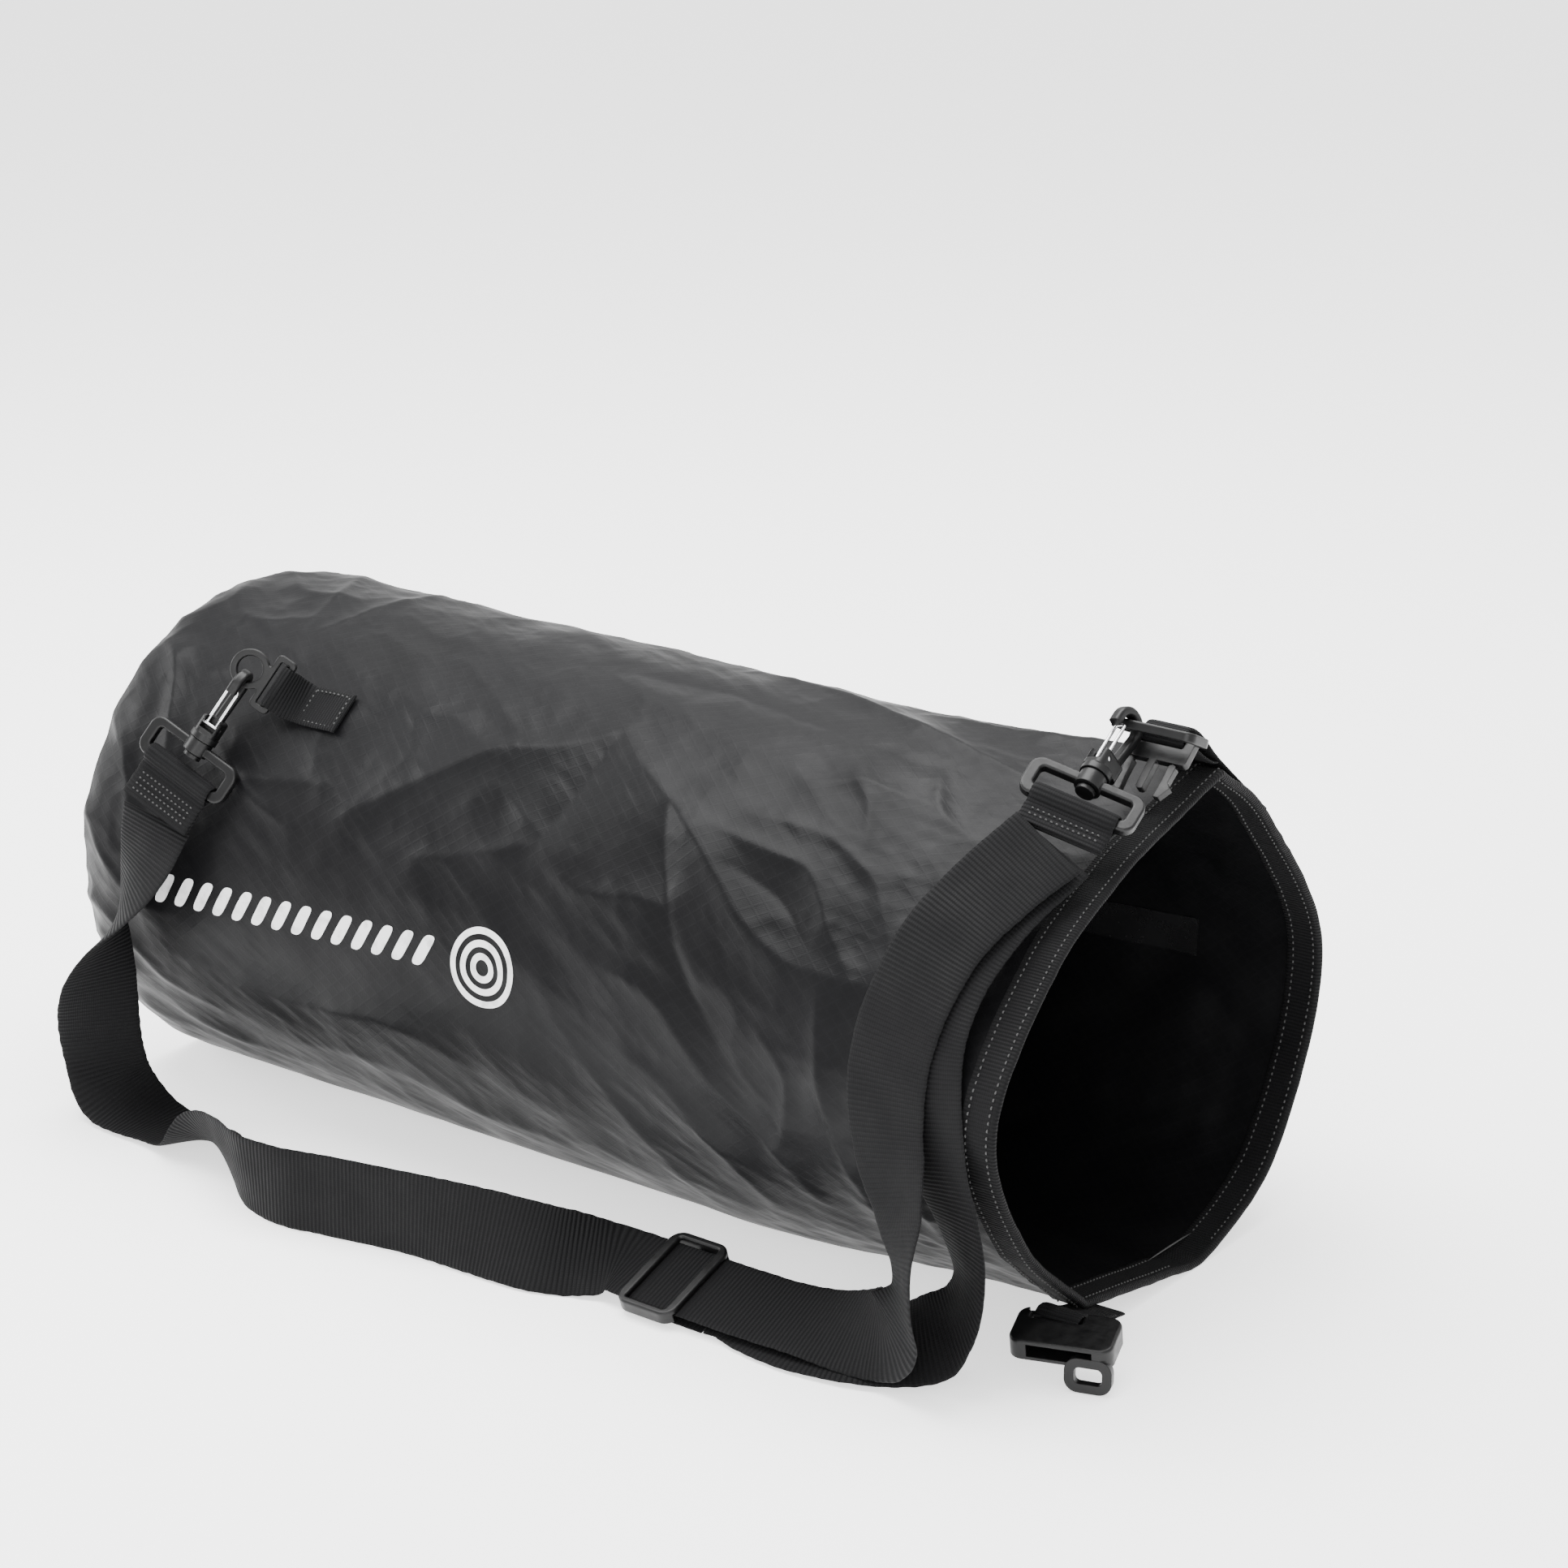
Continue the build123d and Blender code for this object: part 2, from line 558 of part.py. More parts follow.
# ---- slider --------------------------------------------------------------------------------
def make_slider():
    """Three-bar slider lying on the strap: side rails in front of it, middle bar behind."""
    face = Plane(origin=SLIDER_MID, x_dir=(1, 0, 0), z_dir=SLIDER_FACE)
    with BuildPart() as slider:
        with BuildSketch(face):
            RectangleRounded(SLIDER_W, SLIDER_H, 7.0)
            Rectangle(SLIDER_W - 10.0, WEB + 1.6, mode=Mode.SUBTRACT)
        extrude(amount=SLIDER_T / 2, both=True)
        fillet(slider.edges(), 1.2)
        with BuildSketch(face.offset(-SLIDER_T / 2 - 0.1)):
            Rectangle(SLIDER_W + 2.0, WEB + 1.6)
        extrude(amount=SLIDER_T / 2 + 0.1 + WEB_T / 2 + GAP, mode=Mode.SUBTRACT)
        with BuildSketch(face.offset(-SLIDER_BACK)):
            Rectangle(5.0, WEB + 3.0)
        extrude(amount=-2.4)
    write(slider.part, "slider")

    start = face.from_local_coords((0, 0.5 - WEB / 2, 0))
    with BuildPart() as slider_fold:
        with BuildSketch(Plane(origin=start, x_dir=face.x_dir, z_dir=face.y_dir)):
            with Locations((0, SLIDER_BACK + 1.2)):
                RectangleRounded(5.0 + 2 * (GAP + 1.2), 2.4 + 2 * (GAP + 1.2), 2.2)
            with Locations((14.0, SLIDER_BACK + 2.4 + GAP + 0.6)):
                Rectangle(28.0, 1.2)
            with Locations((0, SLIDER_BACK + 1.2)):
                Rectangle(5.0 + 2 * GAP, 2.4 + 2 * GAP, mode=Mode.SUBTRACT)
        extrude(amount=WEB - 1.0)
    write(slider_fold.part, "slider_fold")


# ---- shoulder strap ------------------------------------------------------------------------
def webbing(route):
    """A strip drawn straight from station to station; both faces of a span share one diagonal."""
    rims = []
    for number, (middle, width_way) in enumerate(route):
        before = Vector(*route[max(number - 1, 0)][0])
        after = Vector(*route[min(number + 1, len(route) - 1)][0])
        run = (after - before).normalized()
        across = Vector(*width_way)
        across = (across - run * across.dot(run)).normalized() * (WEB / 2)
        through = run.cross(across).normalized() * (WEB_T / 2)
        centre = Vector(*middle)
        rims.append(
            (
                centre - across - through,
                centre + across - through,
                centre + across + through,
                centre - across + through,
            )
        )
    faces = [Face(Wire.make_polygon(rims[0][::-1])), Face(Wire.make_polygon(rims[-1]))]
    for low, high in zip(rims, rims[1:]):
        for side in range(4):
            onward = (side + 1) % 4
            if side == 2:
                halves = ((low[side], low[onward], high[side]), (low[onward], high[onward], high[side]))
            else:
                halves = ((low[side], low[onward], high[onward]), (low[side], high[onward], high[side]))
            faces.extend(Face(Wire.make_polygon(half)) for half in halves)
    with BuildPart() as strip:
        add(Solid(Shell(faces)))
    return strip.part


os.makedirs("parts", exist_ok=True)
make_bag()
lower_frame, lower_hook = make_hook("lower", LOWER_BAR, LOWER_BOWL, LOWER_ROLL, LOWER_SPIN, 22.0, 3.6)
upper_frame, upper_hook = make_hook("upper", UPPER_BAR, UPPER_BOWL, UPPER_ROLL, UPPER_SPIN, 14.0, 3.8)
make_base_ring(lower_hook)
plate = make_male_buckle()
body, slot = make_female_buckle()
make_slider()
write(webbing(STRAP), "shoulder_strap")
write(webbing(RETURN), "strap_return")
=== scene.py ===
"""Looks of the roll-top tube bag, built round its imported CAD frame. Metres, +X to the mouth."""
import math

import bpy
import numpy as np
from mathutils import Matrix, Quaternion, Vector


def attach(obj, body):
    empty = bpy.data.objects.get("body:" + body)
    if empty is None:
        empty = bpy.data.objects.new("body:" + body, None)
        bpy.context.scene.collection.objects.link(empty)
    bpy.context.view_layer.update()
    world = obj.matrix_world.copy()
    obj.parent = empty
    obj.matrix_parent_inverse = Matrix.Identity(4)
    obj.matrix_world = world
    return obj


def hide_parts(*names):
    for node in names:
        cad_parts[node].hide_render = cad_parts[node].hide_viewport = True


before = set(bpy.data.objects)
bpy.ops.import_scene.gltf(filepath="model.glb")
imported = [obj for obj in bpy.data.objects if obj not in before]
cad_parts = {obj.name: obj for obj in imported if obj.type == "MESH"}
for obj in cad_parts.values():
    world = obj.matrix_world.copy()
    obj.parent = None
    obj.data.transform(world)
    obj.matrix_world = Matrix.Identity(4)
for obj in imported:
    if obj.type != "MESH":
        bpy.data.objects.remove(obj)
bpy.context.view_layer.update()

MM = 0.001
BODY_R = 126.0
AXIS_Z = 115.0
BASE_X = -277.0
MOUTH_X = 278.0
HEM_X = 261.0
WEB = 40.0
WEB_T = 1.6
TAB_W = 22.0
TAB_T = 1.5


# ---- camera --------------------------------------------------------------------------------
camera = bpy.data.objects.new("camera", bpy.data.cameras.new("camera"))
bpy.context.collection.objects.link(camera)
camera.location = (1.1163, -1.3785, 0.7959)
camera.rotation_euler = (Vector((0.028, 0.052, 0.175)) - camera.location).to_track_quat("-Z", "Y").to_euler()
camera.data.lens = 91.1
camera.data.sensor_width = 36.0
bpy.context.scene.camera = camera


# ---- materials -----------------------------------------------------------------------------
class Mat:
    """A small builder of node materials on UV coordinates in metres or on object coordinates."""

    def __init__(self, name):
        self.mat = bpy.data.materials.new(name)
        self.mat.use_nodes = True
        self.nodes = self.mat.node_tree.nodes
        self.links = self.mat.node_tree.links
        self.shader = self.nodes["Principled BSDF"]
        self.coords = self.nodes.new("ShaderNodeTexCoord")

    def put(self, socket, value):
        target = self.shader.inputs[socket]
        if hasattr(value, "is_linked"):
            self.links.new(value, target)
        else:
            target.default_value = value

    def feed(self, node, socket, value):
        target = node.inputs[socket]
        if hasattr(value, "is_linked"):
            self.links.new(value, target)
        else:
            target.default_value = value

    def noise(self, scale, detail=4.0, source="Object", rough=0.55, stretch=(1, 1, 1)):
        mapping = self.nodes.new("ShaderNodeMapping")
        mapping.inputs["Scale"].default_value = stretch
        self.links.new(self.coords.outputs[source], mapping.inputs["Vector"])
        node = self.nodes.new("ShaderNodeTexNoise")
        self.links.new(mapping.outputs["Vector"], node.inputs["Vector"])
        node.inputs["Scale"].default_value = scale
        node.inputs["Detail"].default_value = detail
        node.inputs["Roughness"].default_value = rough
        return node.outputs["Fac"]

    def wave(self, period, angle=0.0, distortion=0.0):
        """Lines across UV with the period in metres; angle turns them in degrees."""
        mapping = self.nodes.new("ShaderNodeMapping")
        mapping.inputs["Rotation"].default_value = (0, 0, math.radians(angle))
        self.links.new(self.coords.outputs["UV"], mapping.inputs["Vector"])
        node = self.nodes.new("ShaderNodeTexWave")
        self.links.new(mapping.outputs["Vector"], node.inputs["Vector"])
        node.bands_direction = "X"
        node.inputs["Scale"].default_value = math.pi / (10 * period)
        node.inputs["Distortion"].default_value = distortion
        return node.outputs["Fac"]

    def math(self, kind, a, b):
        node = self.nodes.new("ShaderNodeMath")
        node.operation = kind
        self.feed(node, 0, a)
        self.feed(node, 1, b)
        return node.outputs[0]

    def span(self, value, low, high, to_low=0.0, to_high=1.0):
        node = self.nodes.new("ShaderNodeMapRange")
        self.feed(node, 0, value)
        for index, number in enumerate((low, high, to_low, to_high), start=1):
            node.inputs[index].default_value = number
        return node.outputs[0]

    def mix(self, value, a, b):
        node = self.nodes.new("ShaderNodeMix")
        node.data_type = "RGBA"
        self.feed(node, 0, value)
        self.feed(node, 6, a)
        self.feed(node, 7, b)
        return node.outputs[2]

    def bump(self, height, strength, distance, normal=None):
        node = self.nodes.new("ShaderNodeBump")
        node.inputs["Strength"].default_value = strength
        node.inputs["Distance"].default_value = distance
        self.links.new(height, node.inputs["Height"])
        if normal is not None:
            self.links.new(normal, node.inputs["Normal"])
        return node.outputs["Normal"]


def grey(level, blue=0.0):
    return (level, level, level * (1.0 + blue), 1.0)


def coated_fabric(name, level, rough):
    m = Mat(name)
    grid = m.math("MAXIMUM", m.span(m.wave(0.0052, 52), 0.86, 1.0), m.span(m.wave(0.0052, -52), 0.86, 1.0))
    weave = m.math("MULTIPLY", m.wave(0.0009, 0), m.wave(0.0009, 90))
    cloud = m.noise(9.0, 5.0)
    tone = m.mix(m.span(cloud, 0.35, 0.7), grey(level * 0.8, 0.13), grey(level * 1.2, 0.13))
    m.put("Base Color", m.mix(m.math("MULTIPLY", grid, 0.25), tone, grey(level * 1.7, 0.13)))
    smear = m.noise(38.0, 6.0)
    m.put("Roughness", m.span(smear, 0.3, 0.7, rough - 0.06, rough + 0.09))
    m.put("Specular IOR Level", 0.1)
    soft = m.bump(m.noise(55.0, 5.0, rough=0.6), 0.2, 0.0009)
    fine = m.bump(grid, 0.15, 0.0002, soft)
    m.put("Normal", m.bump(weave, 0.15, 0.0001, fine))
    return m.mat


def webbing_cloth(name, level, rib=0.0021, rough=0.72):
    m = Mat(name)
    ribs = m.wave(rib, 90, 0.6)
    yarn = m.wave(0.0011, 0, 0.3)
    cloud = m.noise(60.0, 5.0)
    tone = m.mix(cloud, grey(level * 0.7, 0.08), grey(level * 1.35, 0.08))
    m.put("Base Color", m.mix(m.math("MULTIPLY", ribs, 0.55), tone, grey(level * 2.1, 0.08)))
    m.put("Roughness", m.span(cloud, 0.3, 0.7, rough - 0.08, rough + 0.08))
    m.put("Specular IOR Level", 0.1)
    m.put("Sheen Weight", 0.01)
    m.put("Normal", m.bump(yarn, 0.25, 0.0002, m.bump(ribs, 0.75, 0.0006)))
    return m.mat


def plastic(name, level, rough):
    m = Mat(name)
    cloud = m.noise(45.0, 5.0)
    m.put("Base Color", m.mix(cloud, grey(level * 0.8, 0.05), grey(level * 1.25, 0.05)))
    m.put("Roughness", m.span(m.noise(220.0, 4.0), 0.3, 0.7, rough - 0.05, rough + 0.1))
    m.put("Specular IOR Level", 0.28)
    edge = m.nodes.new("ShaderNodeBevel")
    edge.inputs["Radius"].default_value = 0.0007
    m.put("Normal", m.bump(m.noise(900.0, 3.0), 0.12, 0.0002, edge.outputs["Normal"]))
    return m.mat


def wire_steel(name):
    m = Mat(name)
    scratch = m.noise(500.0, 5.0, stretch=(1, 1, 6))
    m.put("Base Color", m.mix(scratch, (0.62, 0.62, 0.63, 1), (0.82, 0.82, 0.83, 1)))
    m.put("Metallic", 1.0)
    m.put("Roughness", m.span(scratch, 0.3, 0.7, 0.14, 0.32))
    m.put("Normal", m.bump(scratch, 0.1, 0.0001))
    return m.mat


def thread(name, level):
    m = Mat(name)
    m.put("Base Color", m.mix(m.noise(400.0), grey(level * 0.7), grey(level * 1.3)))
    m.put("Roughness", 0.7)
    m.put("Normal", m.bump(m.noise(1500.0), 0.3, 0.0002))
    return m.mat


def ink(name):
    m = Mat(name)
    wear = m.noise(130.0, 6.0)
    m.put("Base Color", m.mix(m.span(wear, 0.32, 0.5), grey(0.5), grey(0.74)))
    m.put("Roughness", m.span(wear, 0.3, 0.7, 0.45, 0.65))
    m.put("Normal", m.bump(wear, 0.15, 0.0002))
    return m.mat


FABRIC = coated_fabric("coated_ripstop", 0.0035, 0.40)
LINING = coated_fabric("coated_inside", 0.003, 0.5)
STRAP_CLOTH = webbing_cloth("strap_webbing", 0.0035)
HEM_CLOTH = webbing_cloth("hem_webbing", 0.003, 0.0016)
PLASTIC = plastic("black_plastic", 0.003, 0.34)
STEEL = wire_steel("gate_steel")
STITCH = thread("grey_thread", 0.035)
INK = ink("pale_print")
TAPE = plastic("seam_film", 0.008, 0.2)


# ---- mesh helpers --------------------------------------------------------------------------
def piece(name, verts, faces, material, nodes=(), uvs=None, smooth=True, body="bag"):
    """A mesh object in metres that rides on a body and takes the given finish."""
    mesh = bpy.data.meshes.new(name)
    mesh.from_pydata([tuple(v) for v in verts], [], [tuple(int(i) for i in f) for f in faces])
    mesh.materials.append(material)
    if uvs is not None:
        layer = mesh.uv_layers.new(name="UVMap")
        index = np.empty(len(mesh.loops), dtype=np.int32)
        mesh.loops.foreach_get("vertex_index", index)
        layer.data.foreach_set("uv", np.asarray(uvs, dtype=np.float32)[index].ravel())
    if smooth:
        mesh.shade_smooth()
    obj = bpy.data.objects.new(name, mesh)
    bpy.context.collection.objects.link(obj)
    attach(obj, body)
    if nodes:
        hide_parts(*nodes)
    return obj


def grid_faces(rows, columns, closed=False):
    """Quads of a grid of vertices stored row by row; closed joins the last column to the first."""
    faces = []
    for i in range(rows - 1):
        for j in range(columns if closed else columns - 1):
            k = (j + 1) % columns
            faces.append((i * columns + j, i * columns + k, (i + 1) * columns + k, (i + 1) * columns + j))
    return faces


def catmull(points, steps):
    """A smooth curve through the points, steps samples a span."""
    p = np.asarray(points, dtype=float)
    padded = np.vstack([2 * p[0] - p[1], p, 2 * p[-1] - p[-2]])
    out = []
    for i in range(len(p) - 1):
        a, b, c, d = padded[i : i + 4]
        for s in np.linspace(0, 1, steps, endpoint=False):
            out.append(
                0.5
                * (
                    2 * b
                    + (c - a) * s
                    + (2 * a - 5 * b + 4 * c - d) * s**2
                    + (3 * b - a - 3 * c + d) * s**3
                )
            )
    out.append(p[-1])
    return np.array(out)


def lattice_noise(u, v, seed):
    """Smooth noise in -1..1 on a plane."""
    values = np.random.default_rng(seed).uniform(-1, 1, (97, 97))
    iu, iv = np.floor(u).astype(int), np.floor(v).astype(int)
    fu, fv = u - iu, v - iv
    fu, fv = fu * fu * (3 - 2 * fu), fv * fv * (3 - 2 * fv)
    a, b = values[iu % 97, iv % 97], values[(iu + 1) % 97, iv % 97]
    c, d = values[iu % 97, (iv + 1) % 97], values[(iu + 1) % 97, (iv + 1) % 97]
    return (a * (1 - fu) + b * fu) * (1 - fv) + (c * (1 - fu) + d * fu) * fv


def layered(u, v, seed, octaves=4, ridged=False):
    total = np.zeros_like(u)
    for octave in range(octaves):
        layer = lattice_noise(u * 2**octave + 11.3 * octave, v * 2**octave + 5.1 * octave, seed + octave)
        total += (1 - 2 * np.abs(layer) if ridged else layer) / 2**octave
    return total


# ---- bag shell -----------------------------------------------------------------------------
# The mouth's rim as (y, z), from the top corner down the near side to the bottom corner,
# along the floor and up the far side.
RIM_NEAR = ((41, 237), (2, 226), (-39, 213), (-92, 183), (-134, 125), (-109, 62), (-60, 16))
RIM_FAR = ((-60, 16), (-20, 9), (10, 4), (46, 1.5), (104, 34), (137, 123), (84, 203), (41, 237))


def polar(points):
    away = np.array(points) - (0, AXIS_Z)
    return np.degrees(np.arctan2(-away[:, 0], away[:, 1])), np.hypot(away[:, 0], away[:, 1])


def rim_radius(phi):
    """Radius of the rim at an angle in degrees from the top towards the near side."""
    angle_near, radius_near = polar(catmull(RIM_NEAR, 12))
    angle_far, radius_far = polar(catmull(RIM_FAR, 12))
    angles = np.concatenate([angle_near, angle_far])
    radii = np.concatenate([radius_near, radius_far])
    order = np.argsort(angles)
    return np.interp(phi, angles[order], radii[order], period=360)


# Folds as ((x, angle) points, height, width): heights and widths in mm.
FOLDS = (
    (((-110, 62), (-72, 50), (-38, 39), (-8, 35), (20, 27)), 5.5, 20),
    (((20, 27), (42, 34), (66, 40), (96, 49), (128, 60), (160, 66), (196, 66)), 6.5, 18),
    (((20, 27), (14, 45), (6, 58)), -2.5, 14),
    (((-60, 66), (-20, 61), (6, 57), (40, 63), (84, 62), (112, 74)), 3.5, 15),
    (((66, 40), (80, 56), (104, 74), (140, 92)), -3.5, 13),
    (((92, 43), (126, 45), (150, 47), (172, 58), (190, 66)), 4.0, 9),
    (((108, 38), (150, 38), (182, 46), (204, 60)), 3.0, 8),
    (((110, 50), (140, 54), (164, 62)), -3.0, 8),
    (((140, 20), (156, 27), (166, 36)), 2.4, 6),
    (((128, 26), (146, 22), (172, 22)), 2.0, 6),
    (((170, 10), (186, 22), (206, 26)), 2.4, 8),
    (((30, -14), (80, -10), (130, -4), (176, 0), (214, 2)), 4.5, 9),
    (((-10, 6), (40, 4), (100, 8), (160, 10)), -2.6, 18),
    (((-30, -6), (10, 14), (60, 20), (110, 24)), 2.0, 16),
    (((50, 76), (88, 80), (118, 92), (150, 103), (170, 118)), 4.0, 13),
    (((62, 92), (96, 98), (120, 110), (140, 124)), 3.2, 12),
    (((148, 80), (166, 88), (164, 100), (150, 108)), 3.5, 9),
    (((176, 70), (186, 86), (196, 104), (204, 124)), 4.0, 11),
    (((200, 62), (214, 80), (226, 100), (232, 122)), 3.5, 10),
    (((20, 84), (52, 100), (80, 118), (100, 134)), 2.6, 14),
    (((-196, 54), (-168, 62), (-138, 67)), 3.4, 6),
    (((-186, 60), (-160, 58), (-128, 56), (-96, 60)), 2.0, 8),
    (((-277, 30), (-252, 36), (-236, 48), (-222, 66)), 3.6, 8),
    (((-277, 52), (-256, 60), (-240, 74), (-230, 92)), 3.4, 8),
    (((-277, 74), (-258, 84), (-236, 92), (-214, 94)), 3.2, 7),
    (((-277, 96), (-254, 100), (-226, 112), (-196, 118)), 3.0, 8),
    (((-262, 8), (-240, 18), (-222, 20), (-196, 14)), 2.6, 8),
    (((-277, -12), (-250, -4), (-226, 4), (-190, 2)), 2.6, 9),
    (((-250, -30), (-222, -12), (-204, 4), (-196, 22)), 2.4, 10),
    (((-180, -24), (-172, -8), (-176, 8), (-188, 20)), 2.4, 9),
    (((-216, 30), (-196, 26), (-170, 30), (-140, 26)), 1.8, 8),
    (((-150, 36), (-120, 30), (-84, 34), (-50, 28)), 1.6, 12),
    (((-200, 104), (-140, 108), (-80, 104), (-20, 110), (40, 116)), 2.4, 16),
    (((-150, 122), (-90, 118), (-30, 124), (30, 128)), 2.4, 14),
    (((-240, 120), (-200, 128), (-150, 132)), 2.4, 10),
    (((-200, -60), (-120, -52), (-40, -58), (60, -50)), 3.2, 16),
    (((-240, -90), (-160, -80), (-80, -92), (20, -84)), 3.0, 15),
    (((40, -70), (100, -62), (160, -72), (230, -66)), 3.2, 13),
    (((60, -96), (130, -104), (200, -98), (250, -108)), 3.2, 12),
    (((-220, -120), (-140, -112), (-60, -122), (20, -116)), 2.4, 14),
    (((-277, -40), (-250, -48), (-220, -44)), 3.2, 8),
    (((-277, -70), (-248, -76), (-214, -70)), 3.2, 8),
    (((-277, -104), (-246, -100), (-212, -108)), 3.0, 8),
    (((120, -36), (170, -30), (220, -34), (256, -30)), 3.0, 9),
    (((130, -14), (180, -16), (230, -18), (262, -19)), 3.0, 7),
)


def fold_height(x, phi):
    """Sum of the listed folds at points on the tube."""
    s = np.radians(phi) * BODY_R
    total = np.zeros_like(x)
    for points, height, width in FOLDS:
        line = catmull([(a, math.radians(b) * BODY_R) for a, b in points], 5)
        near = np.full(x.shape, 1e9)
        where = np.zeros_like(x)
        for i, (start, end) in enumerate(zip(line[:-1], line[1:])):
            way = end - start
            t = np.clip(((x - start[0]) * way[0] + (s - start[1]) * way[1]) / (way @ way), 0, 1)
            gap = np.hypot(x - start[0] - t * way[0], s - start[1] - t * way[1])
            closer = gap < near
            near = np.where(closer, gap, near)
            where = np.where(closer, (i + t) / (len(line) - 1), where)
        taper = np.sin(np.pi * (0.08 + 0.84 * where)) ** 0.7
        total += 0.75 * height * taper * np.exp(-(np.sqrt(near**2 + 2.0) - 1.4) / (0.62 * width))
    return total


def surface(x, phi):
    """Points of the bag's outside in mm at x and an angle in degrees from the top, near positive."""
    x, phi = np.broadcast_arrays(np.asarray(x, float), np.asarray(phi, float))
    angle = np.radians(phi)
    down = -np.cos(angle)
    circle = np.where(down > 0.3, np.minimum(BODY_R, AXIS_Z / np.maximum(down, 0.3)), BODY_R)
    w = np.clip((x - 92.0) / (264.0 - 92.0), 0, 1)
    w = w * w * (3 - 2 * w)
    radius = circle * (1 - w) + rim_radius(phi) * w
    s = angle * BODY_R
    base = np.clip((x - BASE_X) / 26.0, 0, 1)
    radius = radius - 7.0 * (1 - base) ** 2
    on_floor = np.clip((AXIS_Z - 6.0 + radius * np.cos(angle)) / 26.0, 0, 1)
    calm = np.clip((MOUTH_X - x) / 34.0, 0.12, 1) * (0.25 + 0.75 * on_floor)
    turned_x, turned_s = x * 0.86 + s * 0.5, s * 0.86 - x * 0.5
    bumps = fold_height(x, phi)
    bumps += 1.2 * layered(turned_x / 95 + 20, turned_s / 42 + 20, 3, 3)
    bumps += 0.5 * layered(turned_x / 46 + 60, turned_s / 22 + 40, 9, 3, ridged=True)
    end = np.exp(-((x - BASE_X) / 46.0) ** 2)
    bumps += end * 1.1 * layered(x / 34 + 30, s / 32 + 30, 21, 2, ridged=True)
    neck = np.clip((x - 120) / 100, 0, 1)
    bumps += neck * 0.5 * layered(x / 30 + 10, s / 17 + 50, 31, 3, ridged=True)
    print_area = np.exp(-(((x + 125) / 105.0) ** 4) - ((phi - 87) / 11.0) ** 4)
    bumps = bumps * (1 - 0.55 * print_area) * calm
    seat = np.exp(-(((x + 168) / 24.0) ** 2) - ((phi - 38) / 10.0) ** 2)
    bumps = bumps * (1 - 0.8 * seat)
    radius = radius + bumps - 1.0
    crumple = 0.4 * (1 - on_floor) * (1 + lattice_noise(x / 9, s / 9, 5))
    z = np.maximum(AXIS_Z + radius * np.cos(angle), 0.25 + crumple)
    z = np.where(np.abs(phi) > 120, z, AXIS_Z + radius * np.cos(angle))
    return np.stack([x, -radius * np.sin(angle), z], axis=-1)


def tube_grid(rows, columns):
    xs = BASE_X + (MOUTH_X - 1.0 - BASE_X) * np.linspace(0, 1, rows)
    phis = np.linspace(-180, 180, columns, endpoint=False)
    x, phi = np.meshgrid(xs, phis, indexing="ij")
    return x, phi


x, phi = tube_grid(460, 560)
outside = surface(x, phi)
uv = np.stack([x, np.radians(phi) * BODY_R], axis=-1) * MM
# the seam of the UV map runs along the bottom, where the angle wraps
piece(
    "bag_body",
    outside.reshape(-1, 3) * MM,
    grid_faces(460, 560, closed=True),
    FABRIC,
    ("bag_shell",),
    uv.reshape(-1, 2),
)
x, phi = tube_grid(150, 220)
inside = surface(x, phi)
inward = inside - (0, 0, AXIS_Z)
inward[..., 0] = 0
inside = inside - inward / np.linalg.norm(inward, axis=-1, keepdims=True) * 2.0
inside[..., 2] = np.maximum(inside[..., 2], 1.8)
piece(
    "bag_lining",
    inside.reshape(-1, 3) * MM,
    [f[::-1] for f in grid_faces(150, 220, closed=True)],
    LINING,
    (),
    (np.stack([x, np.radians(phi) * BODY_R], axis=-1) * MM).reshape(-1, 2),
)


def base_cap():
    """The round end panel with its welded binding, crumpled a little where it meets the tube."""
    rings, columns = 60, 360
    phis = np.linspace(-180, 180, columns, endpoint=False)
    rim = surface(np.full(columns, BASE_X), phis)
    verts = []
    for k in range(rings):
        t = k / (rings - 1)
        ring = rim.copy()
        centre = np.array([BASE_X, 0.0, AXIS_Z - 1.0])
        ring = centre + (rim - centre) * (1 - t)
        away = (1 - t) * BODY_R
        ridge = 1.6 * math.exp(-(((away - 112.0) / 3.2) ** 4))
        u, v = ring[:, 1] / 30 + 40, ring[:, 2] / 30 + 40
        crease = 1.4 * t * layered(u, v, 77, 4, ridged=True) * min(1, 6 * t) * (t < 0.999)
        ring[:, 0] = BASE_X + 0.6 - ridge + crease
        ring[:, 0] = np.maximum(ring[:, 0], BASE_X - 4.0)
        verts.append(ring)
    verts = np.array(verts)
    uvs = verts[..., 1:].reshape(-1, 2) * MM
    faces = [f[::-1] for f in grid_faces(rings, columns, closed=True)]
    nodes = ("base_panel", "base_binding")
    piece("base_cap", verts.reshape(-1, 3) * MM, faces, FABRIC, nodes, uvs)


base_cap()


